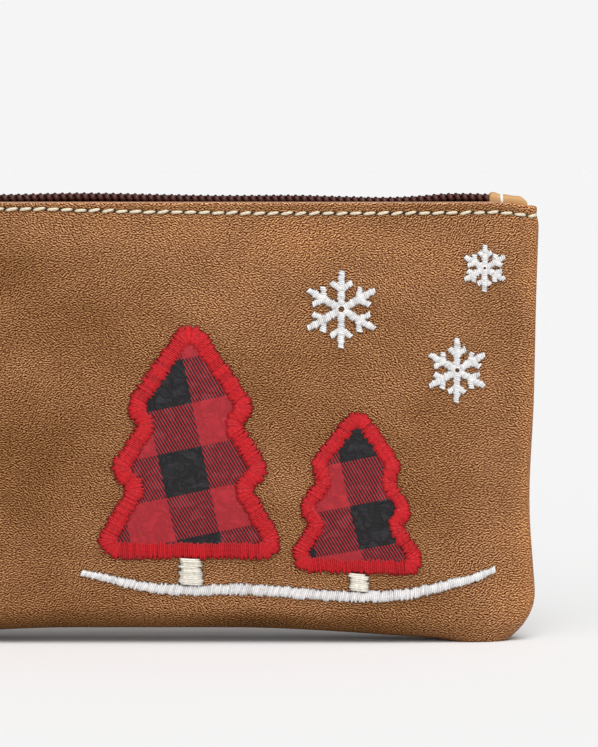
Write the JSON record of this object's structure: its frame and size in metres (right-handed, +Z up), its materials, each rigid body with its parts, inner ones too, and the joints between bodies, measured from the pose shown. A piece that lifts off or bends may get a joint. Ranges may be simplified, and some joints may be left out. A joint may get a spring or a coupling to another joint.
{
  "type": "leather zip pouch",
  "caption": "Small flat leather pouch with a coil zip along its top edge and embroidered winter trees on its front, standing upright on its rounded bottom corners.",
  "frame": {"origin": "on the floor under the middle of the pouch", "axes": "+X along the zip, to the right seen from the front; +Y from the front to the back; +Z up"},
  "size_m": [0.179, 0.0229, 0.1076],
  "materials": {
    "cognac_leather": "pebbled, waxed, semi-matt",
    "tab_leather": "smooth, semi-matt",
    "zip_tape": "woven polyester",
    "zip_coil": "drawn nylon monofilament",
    "slider_metal": "antiqued, satin",
    "checked_cloth": "red and black check",
    "red_thread": "satin stitch, silky",
    "cream_thread": "satin stitch, silky",
    "white_thread": "satin stitch, silky"
  },
  "bodies": {
    "root": {"front_panel": "cognac_leather", "back_panel": "cognac_leather", "zip_tape_front": "zip_tape", "zip_tape_back": "zip_tape", "zip_chain": "zip_coil", "zip_slider": "slider_metal", "zip_tab_right": "tab_leather", "zip_tab_left": "tab_leather", "tree_patch_large": "checked_cloth", "tree_border_large": "red_thread", "tree_trunk_large": "cream_thread", "tree_patch_small": "checked_cloth", "tree_border_small": "red_thread", "tree_trunk_small": "cream_thread", "snow_line": "white_thread", "snowflake_1": "white_thread", "snowflake_2": "white_thread", "snowflake_3": "white_thread"}
  },
  "joints": []
}
